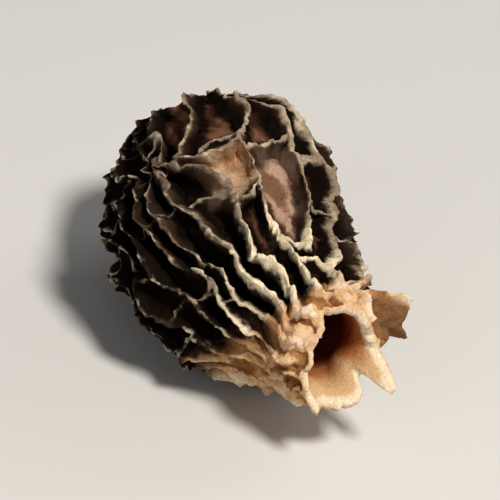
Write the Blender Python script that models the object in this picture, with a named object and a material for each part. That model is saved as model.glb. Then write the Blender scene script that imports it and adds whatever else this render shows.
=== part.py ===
"""A small dried black morel, lying on its side: a hollow ridged cap that runs into a short torn stem.

Blender units are metres, +Z is up, and the stem's mouth is at the +X end. Lengths in this file are
millimetres. "Round" is the angle about the mushroom's axis: 0 degrees is up, and it grows towards -Y.
"Along" is the distance from the tip of the cap, measured over its surface.
"""

import math

import bpy
import numpy as np

TAU = 2 * math.pi
MM = 0.001

# The wall without its ridges, from the tip to the mouth:
# (distance before the mouth, distance from the axis)
OUTLINE = (
    (23.4, 0.0),
    (23.2, 1.4),
    (22.3, 2.8),
    (20.1, 4.2),
    (16.7, 5.05),
    (12.8, 5.15),
    (9.5, 4.5),
    (7.0, 3.75),
    (5.1, 3.2),
    (3.2, 2.9),
    (1.8, 2.85),
    (0.9, 2.95),
)
WALL_THICKNESS = 0.62
RIM_RINGS = 7

# Cross-section of the cap, as fractions of its radius
OVALNESS = 0.05
OVAL_TURN = math.radians(80)
THREE_LOBES = 0.035
FIVE_LOBES = 0.02

# The stem end is pressed into a tall drop shape, and torn off further back at its top than at its bottom
MOUTH_REACH = 8.5
MOUTH_TURN = math.radians(-20)
MOUTH_TALLER = -0.12
MOUTH_NARROWER = 0.2
MOUTH_DROP = 0.2
TEAR_BACK = 1.9
TEAR_WAVES = 0.35
# A notch in the rim, a flap of flesh beside it, and the part of the stem that flares out there
NOTCH_DEPTH, NOTCH_TURN, NOTCH_SPREAD = 1.1, math.radians(-152), math.radians(9)
FLAP_LENGTH, FLAP_TURN, FLAP_SPREAD = 1.5, math.radians(-130), math.radians(15)
FLARE, FLARE_TURN, FLARE_SPREAD = 0.45, math.radians(-122), math.radians(28)
# How far the stem and the tip bend away from the straight axis, and towards where
STEM_BEND = 1.25
STEM_BEND_TURN = math.radians(-45)
TIP_BEND = 1.9
TIP_BEND_TURN = math.radians(-86)

# Ribs run from near the tip to the mouth. Each has the distances at which it starts and ends, its
# thickness on the cap and near the stem, as fractions of RIDGE_WIDTH, and the angle at which it stands
# at each of the stations. These are the ribs of the side with wide shallow pits, then of the side with
# narrow ones.
RIB_STATIONS = (4, 8, 11, 14, 17, 20, 23)
MOUTH = 99  # an end past every station
SHAPED_RIBS = (
    (4.6, MOUTH, 1.1, 1.3, (-84, -82, -86, -92, -84, -70, -60)),
    (1.2, MOUTH, 1.6, 1.2, (-56, -46, -58, -65, -56, -43, -43)),
    (5.4, 18.6, 1.0, 1.3, (-34, -28, -34, -35, -31, -26, -26)),
    (0.8, MOUTH, 1.0, 1.6, (-16, -12, 0, 5, -5, -11, -5)),
    (2.6, 10.4, 1.1, 1.1, (-2, 14, 30, 30, 30, 30, 30)),
    (1.0, 6.0, 1.1, 1.1, (48, 56, 56, 56, 56, 56, 56)),
    (1.8, MOUTH, 1.0, 1.6, (67, 43, 34, 25, 18, 19, 24)),
    (8.4, MOUTH, 0.8, 1.2, (50, 46, 42, 38, 33, 34, 39)),
    (4.6, MOUTH, 0.6, 1.0, (64, 55, 48, 49, 49, 48, 50)),
    (1.4, MOUTH, 0.7, 1.1, (82, 70, 58, 58, 59, 63, 66)),
    (5.6, MOUTH, 0.6, 0.9, (92, 84, 72, 70, 73, 80, 85)),
    (3.2, MOUTH, 0.6, 0.9, (102, 96, 87, 84, 88, 96, 102)),
    (1.2, MOUTH, 0.7, 0.9, (118, 110, 102, 99, 104, 112, 118)),
    (5.4, MOUTH, 0.6, 0.8, (130, 122, 116, 113, 118, 127, 133)),
)
# The other side's ribs are spread evenly, then each is shifted a little
PLAIN_RIBS = 9
PLAIN_RIBS_FROM, PLAIN_RIBS_TO = 136, 256
PLAIN_RIB_SHIFT = 4
RIB_WAVES = ((0.12, 5.5), (0.07, 2.4))  # (sideways swing, wavelength)

# Ridges that join two ribs, given by their ends: (along, degrees round, height) and the same again
SHAPED_CROSSINGS = (
    ((10.4, -3, 1.3), (10.9, 33, 1.5)),
    ((13.3, 5, 1.4), (13.9, 25, 1.5)),
    ((17.8, -9, 1.1), (18.2, -28, 0.9)),
    ((11.2, -1, 0.9), (10.6, -33, 0.8)),
    ((20.6, 80, 0.3), (20.0, 62, 1.2)),
    ((21.6, -62, 0.5), (23.0, -86, 1.9)),
    ((23.0, -86, 1.9), (23.3, -106, 2.0)),
    ((23.3, -106, 2.0), (25.0, -124, 0.5)),
)
# Wide pits without other crossings: from and to an angle, from and to a distance along
OPEN_FLOORS = (
    (-32, 3, 11.0, 17.8),
    (-2, 30, 10.5, 13.5),
    (47, 62, 19.0, 22.4),
    (-12, 48, 14.2, 23.0),
    (-110, -72, 23.4, 25.6),
)

RIDGE_HEIGHT = 1.6
RIDGE_WIDTH = 0.42
RIDGE_SHARPNESS = 1.7
LOW_SIDE_TURN = math.radians(-20)
LOW_SIDE_HEIGHT = 0.68
CROSS_RIDGE_GAP = (2.2, 5.0)
CROSS_RIDGE_HEIGHT = (0.5, 0.88)
WIDE_PIT = 2.4
RIDGE_REACH = 1.5
FILLET = 5.0  # a high value leaves a crease where ridges meet, a low one fills it
MIDDLE_OF_RIDGES = 0.8

NECK_FROM, NECK_TO, FOLDS_END = 22.2, 24.0, 25.7
NECK_EARLIER = 5.5  # on the side away from NECK_TURN
NECK_TURN = math.radians(-20)
NECK_HEIGHT = 0.45
NECK_FLOOR = 0.30
NECK_THINNER = 0.35
THICKENS_FROM, THICKENS_TO = 13.0, 19.0

# Slow waves that bend the whole body: (amount, wavelength, seed), then ones of the outside and of the rim
BODY_WAVES = ((0.32, 9.0, 21), (0.12, 3.4, 31))
SKIN_WAVES = ((0.05, 1.6, 41),)
TORN_RIM = ((0.16, 2.2, 71),)
LEAN = 0.1
LEAN_WAVELENGTH = 4.2

# How it comes to rest, and how far its lowest crests are pressed flat
REST_ROLL = math.radians(10.4)
REST_PITCH = math.radians(4.8)
PRESSED_FLAT = 0.4
SEED = 5

COLUMNS = 240
ROW_STEP = 0.17
FACES_KEPT = 0.09


def smoothstep(low, high, x):
    t = np.clip((np.asarray(x, float) - low) / (high - low), 0, 1)
    return t * t * (3 - 2 * t)


def bump(angle, middle, spread):
    """1 at the middle angle, and falling smoothly to 0 within about twice the spread."""
    return np.exp(-(((angle - middle + math.pi) % TAU - math.pi) / spread) ** 2)


def wave_noise(points, wavelength, seed, waves=16):
    """Smooth noise of about unit size: sine waves that run in random directions."""
    rng = np.random.default_rng(seed)
    heading = rng.normal(size=(waves, 3))
    heading /= np.linalg.norm(heading, axis=1, keepdims=True)
    heading *= TAU / (wavelength * rng.uniform(0.7, 1.5, (waves, 1)))
    return np.sin(points @ heading.T + rng.uniform(0, TAU, waves)).sum(-1) * math.sqrt(2 / waves)


def wave_shift(points, waves):
    """A displacement of each point for (amount, wavelength, seed) waves."""
    shift = np.zeros_like(points)
    for amount, wavelength, seed in waves:
        for axis in range(3):
            shift[..., axis] += amount * wave_noise(points, wavelength, seed + axis)
    return shift


def smooth_outline(step):
    """Catmull-Rom curve through OUTLINE at equal steps: distance before the mouth, radius, and along."""
    ends = np.array(OUTLINE)
    before = ends[1] * (1, -1)
    after = 2 * ends[-1] - ends[-2]
    knots = np.vstack([before, ends, after])
    t = np.linspace(0, 1, 30, endpoint=False)[:, None]
    pieces = []
    for a, b, c, d in zip(knots, knots[1:], knots[2:], knots[3:]):
        cubic = (-a + 3 * b - 3 * c + d) * t**3 + (2 * a - 5 * b + 4 * c - d) * t**2
        pieces.append((2 * b + (c - a) * t + cubic) / 2)
    curve = np.vstack(pieces + [ends[-1:]])
    length = np.concatenate([[0], np.cumsum(np.linalg.norm(np.diff(curve, axis=0), axis=1))])
    along = np.linspace(0, length[-1], round(length[-1] / step) + 1)
    return np.interp(along, length, curve[:, 0]), np.interp(along, length, curve[:, 1]), along


def stemward(along, angle):
    """The distance along, made longer on the side where the stem reaches further up."""
    return along + NECK_EARLIER * (1 - np.cos(angle - NECK_TURN)) / 2


def neck_share(along, angle):
    """From 0 on the cap to 1 on the stem."""
    return smoothstep(NECK_FROM, NECK_TO, stemward(along, angle))


def ridge_envelope(along, angle):
    """Ridges rise behind the tip, are lowest on one side, and sink to folds that end at the mouth."""
    rise = 0.3 + 0.7 * smoothstep(0.5, 7.5, along)
    side = 1 - (1 - LOW_SIDE_HEIGHT) * np.maximum(np.cos(angle - LOW_SIDE_TURN), 0) ** 2
    neck = 1 - (1 - NECK_HEIGHT) * neck_share(along, angle)
    return rise * side * neck * (1 - smoothstep(NECK_TO, FOLDS_END, along))


def rib_list(rng):
    """Every rib in order round the cap, each as in SHAPED_RIBS."""
    ribs = list(SHAPED_RIBS)
    for n in range(PLAIN_RIBS):
        home = PLAIN_RIBS_FROM + (PLAIN_RIBS_TO - PLAIN_RIBS_FROM) * n / (PLAIN_RIBS - 1)
        angles = home + rng.uniform(-PLAIN_RIB_SHIFT, PLAIN_RIB_SHIFT, len(RIB_STATIONS))
        start = (1.1, 4.0, 2.2, 5.5)[n % 4] * rng.uniform(0.85, 1.15)
        thickness = rng.uniform(0.85, 1.15)
        ribs.append((start, MOUTH, thickness, 1.3 * thickness, angles))
    return ribs


def rib_angle(rib, phases, along, radius_at):
    """The angle round the axis at which a rib stands, in radians."""
    place = np.interp(along, RIB_STATIONS, np.arange(len(RIB_STATIONS)))
    first = np.minimum(place.astype(int), len(RIB_STATIONS) - 2)
    angles = np.radians(np.asarray(rib[-1], float))
    angle = angles[first] + (angles[first + 1] - angles[first]) * smoothstep(0, 1, place - first)
    for (swing, wavelength), phase in zip(RIB_WAVES, phases):
        angle = angle + swing / np.maximum(radius_at(along), 1.5) * np.sin(TAU * along / wavelength + phase)
    return angle


def crest_lines(radius_at, length):
    """Every ridge as (angle, along, height, width), each an array along its crest."""
    rng = np.random.default_rng(SEED)
    ribs = rib_list(rng)
    phases = rng.uniform(0, TAU, (len(ribs), 2))
    lines = [crossing(*ends) for ends in SHAPED_CROSSINGS]
    for rib, phase in zip(ribs, phases):
        start, end, thin, thick, _ = rib
        along = np.arange(start, min(end, FOLDS_END, length), 0.25)
        uneven = 1 + 0.13 * np.sin(TAU * along / rng.uniform(2.5, 4.5) + phase[0])
        angle = rib_angle(rib, phase, along, radius_at)
        height = RIDGE_HEIGHT * rng.uniform(0.85, 1.1) * ridge_envelope(along, angle) * uneven
        width = RIDGE_WIDTH * (thin + (thick - thin) * smoothstep(THICKENS_FROM, THICKENS_TO, along))
        width = width * (1 - NECK_THINNER * neck_share(along, angle))
        lines.append((angle, along, height, width))
    for n in range(len(ribs)):
        order = [(ribs[k % len(ribs)], phases[k % len(ribs)]) for k in range(n, n + 4)]
        lines += cross_ridges(rng, order, radius_at)
    return lines


def crossing(start, end):
    """A ridge of SHAPED_CROSSINGS: it bows a little, and sags between its ends."""
    t = np.linspace(0, 1, 9)
    along, angle, height = (first + (last - first) * t for first, last in zip(start, end))
    bow = np.sin(math.pi * t)
    width = np.full_like(t, RIDGE_WIDTH * 1.1)
    return np.radians(angle), along + 0.25 * bow, height * (1 - 0.2 * bow), width


def between(order, at, slant, radius_at):
    """From a rib to the next at a distance along: the angle it starts at, its turn, and the gap. The gap is
    0 where there is no room for a crossing."""
    present = [item for item in order if item[0][0] < at < item[0][1]]
    if len(present) < 2 or present[0] is not order[0]:
        return 0.0, 0.0, 0.0
    start = rib_angle(*present[0], at, radius_at)
    if stemward(at, start) > NECK_FROM:
        return 0.0, 0.0, 0.0
    end = rib_angle(*present[1], at + slant, radius_at)
    turn = (end - start + math.pi) % TAU - math.pi
    middle = (math.degrees(start + turn / 2) + 180) % 360 - 180
    for low, high, begin, finish in OPEN_FLOORS:
        if low < middle < high and begin < at < finish:
            return 0.0, 0.0, 0.0
    return start, turn, abs(turn) * radius_at(at)


def cross_ridges(rng, order, radius_at):
    """The ridges that part the space between two ribs into pits."""
    lines = []
    t = np.linspace(0, 1, 9)
    at = rng.uniform(1.4, 4.0)
    while at < NECK_TO - 1.5:
        slant = rng.uniform(-0.9, 0.9)
        start, turn, gap = between(order, at, slant, radius_at)
        bow = np.sin(math.pi * t)
        bend = rng.uniform(-0.5, 0.5) * bow
        height = RIDGE_HEIGHT * rng.uniform(*CROSS_RIDGE_HEIGHT) * ridge_envelope(at, start)
        height = height * (1 - 0.25 * bow)
        width = np.full_like(t, RIDGE_WIDTH * rng.uniform(0.75, 1.05))
        if gap > 0.7:
            lines.append((start + turn * t, at + slant * t + bend, height, width))
        at += rng.uniform(*CROSS_RIDGE_GAP) * (1.35 if gap > WIDE_PIT else 1.0)
    return lines


def crest_gap(theta, along, radius, angle, at):
    """For each row (along) and column (theta): the distance over the wall to a crest line, and how many of
    the line's steps lie before the nearest point on it."""
    near = np.full((len(along), len(theta)), np.inf)
    place = np.zeros_like(near)
    for n in range(len(at) - 1):
        low, high = min(at[n], at[n + 1]) - RIDGE_REACH, max(at[n], at[n + 1]) + RIDGE_REACH
        rows = np.flatnonzero((along > low) & (along < high))
        middle = (angle[n] + angle[n + 1]) / 2
        half = (angle[n + 1] - angle[n]) / 2
        turn = (theta - middle + math.pi) % TAU - math.pi
        spread = RIDGE_REACH / radius[rows].min() + abs(half)
        cols = np.flatnonzero(abs(turn) < spread)
        ring = radius[rows, None]
        aside = (turn[cols] + half) * ring
        ahead = along[rows, None] - at[n]
        run, rise = 2 * half * ring, at[n + 1] - at[n]
        t = np.clip((aside * run + ahead * rise) / (run**2 + rise**2), 0, 1)
        gap = np.hypot(aside - t * run, ahead - t * rise)
        window = np.ix_(rows, cols)
        closer = gap < near[window]
        near[window] = np.where(closer, gap, near[window])
        place[window] = np.where(closer, n + t, place[window])
    return near, place


def ridge_relief(along, radius, columns):
    """Height of the ridges over the wall for each row (along) and column (angle)."""
    theta = np.arange(columns) * TAU / columns
    radius = np.maximum(radius + MIDDLE_OF_RIDGES * smoothstep(0, 4, along), 0.3)
    total = np.zeros((len(along), columns))
    for angle, at, height, width in crest_lines(lambda s: np.interp(s, along, radius), along[-1]):
        rows = np.flatnonzero((along > at.min() - RIDGE_REACH) & (along < at.max() + RIDGE_REACH))
        near, place = crest_gap(theta, along[rows], radius[rows], angle, at)
        cols = np.flatnonzero(np.isfinite(near).any(axis=0))
        near, place = near[:, cols], place[:, cols]
        window = np.ix_(rows, cols)
        steps = np.arange(len(at))
        peak, wide = np.interp(place, steps, height), np.interp(place, steps, width)
        total[window] += (peak * np.exp(-((near / wide) ** RIDGE_SHARPNESS))) ** FILLET
    neck = neck_share(along[:, None], theta) * (1 - smoothstep(NECK_TO, FOLDS_END, along[:, None]))
    return total ** (1 / FILLET) + NECK_FLOOR * RIDGE_HEIGHT * neck


def shaped(before_mouth, radius, theta):
    """Points of the lobed, torn and sagging body for a distance before the mouth, a radius and an angle."""
    lobes = OVALNESS * np.cos(2 * (theta - OVAL_TURN)) + FIVE_LOBES * np.cos(5 * theta + before_mouth / 3)
    lobes = lobes + THREE_LOBES * np.cos(3 * theta - 1.1 + before_mouth / 8)
    to_mouth = 1 - smoothstep(0, MOUTH_REACH, before_mouth)
    radius = radius * (1 + lobes * (1 - to_mouth))
    radius = radius + FLARE * bump(theta, FLARE_TURN, FLARE_SPREAD) * (1 - smoothstep(0, 2.8, before_mouth))
    turned = theta - MOUTH_TURN
    narrow = radius * np.sin(turned) * (1 - (MOUTH_NARROWER + MOUTH_DROP * np.cos(turned)) * to_mouth)
    tall = radius * np.cos(turned) * (1 + MOUTH_TALLER * to_mouth)
    aside = narrow * math.cos(MOUTH_TURN) + tall * math.sin(MOUTH_TURN)
    upward = tall * math.cos(MOUTH_TURN) - narrow * math.sin(MOUTH_TURN)
    cut = TEAR_BACK * (1 + np.cos(turned)) / 2
    waves = 0.6 * np.sin(3 * theta + 0.7) + 0.4 * np.sin(7 * theta + 2.0) + 0.3 * np.sin(11 * theta)
    torn = NOTCH_DEPTH * bump(theta, NOTCH_TURN, NOTCH_SPREAD)
    torn = torn - FLAP_LENGTH * bump(theta, FLAP_TURN, FLAP_SPREAD)
    round_rim = np.stack([3 * np.cos(theta), 3 * np.sin(theta), 0 * theta], -1)
    for amount, wavelength, seed in TORN_RIM:
        torn = torn + amount * wave_noise(round_rim, wavelength, seed)
    x = -before_mouth - (cut + TEAR_WAVES * waves) * to_mouth**1.5
    x = x - torn * (1 - smoothstep(0, 2.5, before_mouth))
    to_tip = smoothstep(9, 21, before_mouth)
    for bend, turn in ((STEM_BEND * to_mouth, STEM_BEND_TURN), (TIP_BEND * to_tip, TIP_BEND_TURN)):
        aside, upward = aside + bend * math.sin(turn), upward + bend * math.cos(turn)
    return np.stack([x, -aside, upward], -1)


def body_rings():
    """Rings of points from the outer tip over the cap and the rim to the inner tip."""
    before_mouth, radius, along = smooth_outline(ROW_STEP)
    theta = np.arange(COLUMNS) * TAU / COLUMNS
    slope = np.stack([np.gradient(before_mouth), np.gradient(radius)])
    outward = np.stack([slope[1], -slope[0]]) / np.linalg.norm(slope, axis=0)
    relief = ridge_relief(along, radius, COLUMNS)

    flat = shaped(before_mouth[:, None], radius[:, None], theta)
    step_along, step_round = np.gradient(flat, axis=0), np.roll(flat, -1, 1) - np.roll(flat, 1, 1)
    normal = np.cross(step_round, step_along)
    normal[0] = (-1, 0, 0)
    normal /= np.linalg.norm(normal, axis=2, keepdims=True)
    sideways = np.cross(normal, (1.0, 0.0, 0.0))
    lean = LEAN * wave_noise(flat, LEAN_WAVELENGTH, 11)
    outer = flat + (normal + sideways * lean[..., None]) * relief[..., None]
    outer += wave_shift(outer, SKIN_WAVES) * smoothstep(0, 2, before_mouth)[:, None, None]

    half_wall = WALL_THICKNESS / 2
    rim = []
    for turn in np.linspace(0, math.pi, RIM_RINGS)[1:-1]:
        out = half_wall * (math.cos(turn) - 1)
        ring = shaped(before_mouth[-1] - half_wall * math.sin(turn), radius[-1] + out, theta)
        rim.append(ring + normal[-1] * (relief[-1] * (1 + math.cos(turn)) / 2)[:, None])
    thinned = slice(-1, 0, -3)
    inner = shaped(
        (before_mouth - WALL_THICKNESS * outward[0])[thinned, None],
        (radius - WALL_THICKNESS * outward[1])[thinned, None],
        theta,
    )
    rings = np.concatenate([outer[1:], rim, inner])
    return rings + wave_shift(rings, BODY_WAVES)


def laid_to_rest(points):
    """Turns the body as it lies, with its lowest crests PRESSED_FLAT below the ground."""
    roll_cos, roll_sin = math.cos(REST_ROLL), math.sin(REST_ROLL)
    pitch_cos, pitch_sin = math.cos(REST_PITCH), math.sin(REST_PITCH)
    roll = np.array([(1, 0, 0), (0, roll_cos, -roll_sin), (0, roll_sin, roll_cos)])
    pitch = np.array([(pitch_cos, 0, pitch_sin), (0, 1, 0), (-pitch_sin, 0, pitch_cos)])
    points = points @ (pitch @ roll).T
    low, high = points.min(axis=0), points.max(axis=0)
    centre = (low + high) / 2
    return points - (centre[0], centre[1], low[2] + PRESSED_FLAT)


def closed_mesh(name, rings):
    """One closed surface from rings of points, with a point at each end."""
    count, columns = rings.shape[:2]
    points = np.vstack([rings.reshape(-1, 3), rings[0].mean(axis=0), rings[-1].mean(axis=0)])
    points = laid_to_rest(points) * MM
    first, last = count * columns, count * columns + 1
    faces = []
    for column in range(columns):
        after = (column + 1) % columns
        faces.append((first, column, after))
        for row in range(count - 1):
            here = row * columns
            faces.append((here + column, here + columns + column, here + columns + after, here + after))
        end = (count - 1) * columns
        faces.append((last, end + after, end + column))
    mesh = bpy.data.meshes.new(name)
    mesh.from_pydata(points.tolist(), [], faces)
    mesh.shade_smooth()
    return mesh


def dried_flesh():
    material = bpy.data.materials.new("dried_morel")
    material.use_nodes = True
    shader = material.node_tree.nodes["Principled BSDF"]
    shader.inputs["Base Color"].default_value = (0.105, 0.066, 0.041, 1.0)
    shader.inputs["Roughness"].default_value = 0.82
    return material


def main():
    for left_over in list(bpy.data.objects):
        bpy.data.objects.remove(left_over, do_unlink=True)
    morel = bpy.data.objects.new("morel", closed_mesh("morel", body_rings()))
    bpy.context.scene.collection.objects.link(morel)
    morel.data.materials.append(dried_flesh())

    fewer = morel.modifiers.new("fewer faces", "DECIMATE")
    fewer.ratio = FACES_KEPT

    bpy.ops.mesh.primitive_cube_add(size=0.06, location=(0, 0, -0.03))
    ground = bpy.context.object
    ground.name = "ground_cutter"
    ground.hide_render = True
    ground.display_type = "WIRE"
    press = morel.modifiers.new("crests pressed flat", "BOOLEAN")
    press.operation = "DIFFERENCE"
    press.solver = "EXACT"
    press.object = ground


main()
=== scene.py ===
"""A small dried black morel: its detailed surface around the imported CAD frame, and a small studio.

Blender units are metres and +Z is up. Lengths named here are millimetres unless they say otherwise.
"Round" is the angle about the mushroom's axis: 0 degrees is up, and it grows towards -Y. "Along" is
the distance from the tip of the cap, measured over its surface.
"""

import math

import bpy
import numpy as np
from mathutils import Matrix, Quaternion, Vector


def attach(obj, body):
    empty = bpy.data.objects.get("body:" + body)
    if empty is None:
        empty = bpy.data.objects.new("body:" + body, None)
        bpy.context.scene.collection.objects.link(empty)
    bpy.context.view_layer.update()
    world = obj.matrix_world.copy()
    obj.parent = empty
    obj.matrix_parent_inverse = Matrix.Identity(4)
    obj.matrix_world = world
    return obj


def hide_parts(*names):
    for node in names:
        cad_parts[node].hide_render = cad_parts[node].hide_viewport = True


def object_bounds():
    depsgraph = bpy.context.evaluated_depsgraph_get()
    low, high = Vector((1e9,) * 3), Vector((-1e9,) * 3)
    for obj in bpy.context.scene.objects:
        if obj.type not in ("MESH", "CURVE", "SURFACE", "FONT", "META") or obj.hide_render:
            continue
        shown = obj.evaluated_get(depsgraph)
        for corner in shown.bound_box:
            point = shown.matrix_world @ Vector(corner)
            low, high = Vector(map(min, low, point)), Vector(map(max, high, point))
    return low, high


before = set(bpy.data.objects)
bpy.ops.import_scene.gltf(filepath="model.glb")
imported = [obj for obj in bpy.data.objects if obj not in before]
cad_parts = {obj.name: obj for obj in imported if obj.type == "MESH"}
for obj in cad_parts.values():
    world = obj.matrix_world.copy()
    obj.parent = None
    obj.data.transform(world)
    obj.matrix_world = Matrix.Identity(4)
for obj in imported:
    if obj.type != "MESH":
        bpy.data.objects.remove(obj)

TAU = 2 * math.pi
MM = 0.001

# ---- the body ----

# These are the CAD's values, except NECK_HEIGHT, FOLDS_END and the last of SHAPED_CROSSINGS, which
# give the stem its look.

# The wall without its ridges, from the tip to the mouth:
# (distance before the mouth, distance from the axis)
OUTLINE = (
    (23.4, 0.0),
    (23.2, 1.4),
    (22.3, 2.8),
    (20.1, 4.2),
    (16.7, 5.05),
    (12.8, 5.15),
    (9.5, 4.5),
    (7.0, 3.75),
    (5.1, 3.2),
    (3.2, 2.9),
    (1.8, 2.85),
    (0.9, 2.95),
)
WALL_THICKNESS = 0.62

# Cross-section of the cap, as fractions of its radius
OVALNESS = 0.05
OVAL_TURN = math.radians(80)
THREE_LOBES = 0.035
FIVE_LOBES = 0.02

# The stem end is pressed into a drop shape, by fractions of its radius, and torn off further back
# at its top than at its bottom
MOUTH_REACH = 8.5  # how far from the mouth this starts
MOUTH_TURN = math.radians(-20)  # where the drop's top is
MOUTH_TALLER = -0.12
MOUTH_NARROWER = 0.2
MOUTH_DROP = 0.2  # how much narrower still the top is, and how much wider the bottom
TEAR_BACK = 1.9
TEAR_WAVES = 0.35
RIM_WAVES = ((0.6, 3, 0.7), (0.4, 7, 2.0), (0.3, 11, 0.0))  # (share, waves round the rim, phase)
# A notch in the rim, a flap of flesh beside it, and the part of the stem that flares out there
NOTCH_DEPTH, NOTCH_TURN, NOTCH_SPREAD = 1.1, math.radians(-152), math.radians(9)
FLAP_LENGTH, FLAP_TURN, FLAP_SPREAD = 1.5, math.radians(-130), math.radians(15)
FLARE, FLARE_TURN, FLARE_SPREAD = 0.45, math.radians(-122), math.radians(28)
FLARE_REACH = 2.8  # how far from the mouth the flare starts, and then the tears
TORN_REACH = 2.5
# How far the stem and the tip bend away from the straight axis, and towards where
STEM_BEND = 1.25
STEM_BEND_TURN = math.radians(-45)
TIP_BEND = 1.9
TIP_BEND_TURN = math.radians(-86)
TIP_BEND_FROM, TIP_BEND_TO = 9, 21  # before the mouth

# Ribs run from near the tip to the mouth. Each has the distances at which it starts and ends, its
# thickness on the cap and near the stem, as fractions of RIDGE_WIDTH, and the angle at which it
# stands at each of the stations. These are the ribs of the side with wide shallow pits, then of the
# side with narrow ones.
RIB_STATIONS = (4, 8, 11, 14, 17, 20, 23)
MOUTH = 99  # an end past every station
SHAPED_RIBS = (
    (4.6, MOUTH, 1.1, 1.3, (-84, -82, -86, -92, -84, -70, -60)),
    (1.2, MOUTH, 1.6, 1.2, (-56, -46, -58, -65, -56, -43, -43)),
    (5.4, 18.6, 1.0, 1.3, (-34, -28, -34, -35, -31, -26, -26)),
    (0.8, MOUTH, 1.0, 1.6, (-16, -12, 0, 5, -5, -11, -5)),
    (2.6, 10.4, 1.1, 1.1, (-2, 14, 30, 30, 30, 30, 30)),
    (1.0, 6.0, 1.1, 1.1, (48, 56, 56, 56, 56, 56, 56)),
    (1.8, MOUTH, 1.0, 1.6, (67, 43, 34, 25, 18, 19, 24)),
    (8.4, MOUTH, 0.8, 1.2, (50, 46, 42, 38, 33, 34, 39)),
    (4.6, MOUTH, 0.6, 1.0, (64, 55, 48, 49, 49, 48, 50)),
    (1.4, MOUTH, 0.7, 1.1, (82, 70, 58, 58, 59, 63, 66)),
    (5.6, MOUTH, 0.6, 0.9, (92, 84, 72, 70, 73, 80, 85)),
    (3.2, MOUTH, 0.6, 0.9, (102, 96, 87, 84, 88, 96, 102)),
    (1.2, MOUTH, 0.7, 0.9, (118, 110, 102, 99, 104, 112, 118)),
    (5.4, MOUTH, 0.6, 0.8, (130, 122, 116, 113, 118, 127, 133)),
)
# The other side's ribs are spread evenly, then each is shifted a little
PLAIN_RIBS = 9
PLAIN_RIBS_FROM, PLAIN_RIBS_TO = 136, 256
PLAIN_RIB_SHIFT = 4
PLAIN_RIB_STARTS = (1.1, 4.0, 2.2, 5.5)  # in turn
PLAIN_RIB_VARIES = (0.85, 1.15)  # random factor on the start, and on the thickness
PLAIN_RIB_THICKENS = 1.3
RIB_WAVES = ((0.12, 5.5), (0.07, 2.4))  # (sideways swing, wavelength)
RIB_HEIGHT = (0.85, 1.1)
RIB_RISES = 0.13  # the fraction of its height by which a rib rises and falls along its length
RIB_RISES_EVERY = (2.5, 4.5)
RIB_STEP = 0.25

# Ridges that join two ribs, given by their ends: (along, degrees round, height) and the same again.
# Each bows along and sags between its ends.
SHAPED_CROSSINGS = (
    ((10.4, -3, 1.3), (10.9, 33, 1.5)),
    ((13.3, 5, 1.4), (13.9, 25, 1.5)),
    ((17.8, -9, 1.1), (18.2, -28, 0.9)),
    ((11.2, -1, 0.9), (10.6, -33, 0.8)),
    ((20.6, 80, 0.3), (20.0, 62, 1.2)),
    ((21.6, -62, 0.5), (23.0, -86, 1.9)),
    ((23.0, -86, 1.9), (23.3, -106, 2.0)),
    ((23.3, -106, 1.9), (24.4, -121, 0.6)),
)
CROSSING_WIDTH = 1.1  # as a fraction of RIDGE_WIDTH
CROSSING_BOW = 0.25
CROSSING_SAG = 0.2
# Wide pits without other crossings and veins: from and to an angle, from and to a distance along,
# and how pale the floor is
OPEN_FLOORS = (
    (-32, 3, 11.0, 17.8, 0.55),
    (-2, 30, 10.5, 13.5, 0.9),
    (47, 62, 19.0, 22.4, 0.6),
    (-12, 48, 14.2, 23.0, 0.0),
    (-110, -72, 23.4, 25.6, 0.6),
)

# How high a ridge stands over the wall. Every other height is a fraction of it, except in
# SHAPED_CROSSINGS and for the folds on the stem.
RIDGE_HEIGHT = 1.6
TIP_HEIGHT = 0.3
TIP_FROM, TIP_TO = 0.5, 7.5
LOW_SIDE_TURN = math.radians(-20)
LOW_SIDE_HEIGHT = 0.68
RIDGE_REACH = 1.5  # how far from its crest a ridge is worked out
FILLET = 5.0  # a high value leaves a crease where ridges meet, a low one fills it
MIDDLE_OF_RIDGES = 0.8  # added to the wall's radius for distances round the axis

# Random ridges between two ribs: how far apart they are, and how they slant, bend and sag
NO_ROOM = (0.0, 0.0, 0.0)  # start, turn and gap where none can stand
CROSS_RIDGE_FIRST = (1.4, 4.0)
CROSS_RIDGE_GAP = (2.2, 5.0)
CROSS_RIDGE_HEIGHT = (0.5, 0.88)
CROSS_RIDGE_WIDTH = (0.75, 1.05)  # as a fraction of RIDGE_WIDTH
CROSS_RIDGE_SLANT = 0.9
CROSS_RIDGE_BEND = 0.5
CROSS_RIDGE_SAG = 0.25
CROSS_RIDGES_END = 22.5
NARROWEST_PIT = 0.7  # no ridge where the gap between two ribs is smaller
WIDE_PIT = 2.4  # where it is larger, pits are longer too
WIDE_PIT_LONGER = 1.35

# Where the cap turns into the stem, whose low folds end just before the rim. The stem reaches
# further up the side away from NECK_TURN, and what is left of the ridges is low and thin on it.
NECK_FROM, NECK_TO, FOLDS_END = 22.2, 24.0, 25.2
NECK_EARLIER = 5.5
NECK_TURN = math.radians(-20)
NECK_HEIGHT = 0.2
NECK_FLOOR = 0.30  # how high the stem stands over the wall between its folds
NECK_THINNER = 0.35
# Where the ribs change from their thickness on the cap to that near the stem
THICKENS_FROM, THICKENS_TO = 13.0, 19.0

# Slow waves that bend the whole body: (amount, wavelength, seed)
BODY_WAVES = ((0.32, 9.0, 21), (0.12, 3.4, 31))
LEAN_WAVELENGTH = 4.2  # over which the crests lean to one side and the other
LEAN_SEED = 11

# How it comes to rest, and how far its lowest crests are pressed flat
REST_ROLL = math.radians(10.4)
REST_PITCH = math.radians(4.8)
PRESSED_FLAT = 0.4

SEED = 5  # for the ribs and the cross ridges

# ---- detail that only shows here ----

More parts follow.
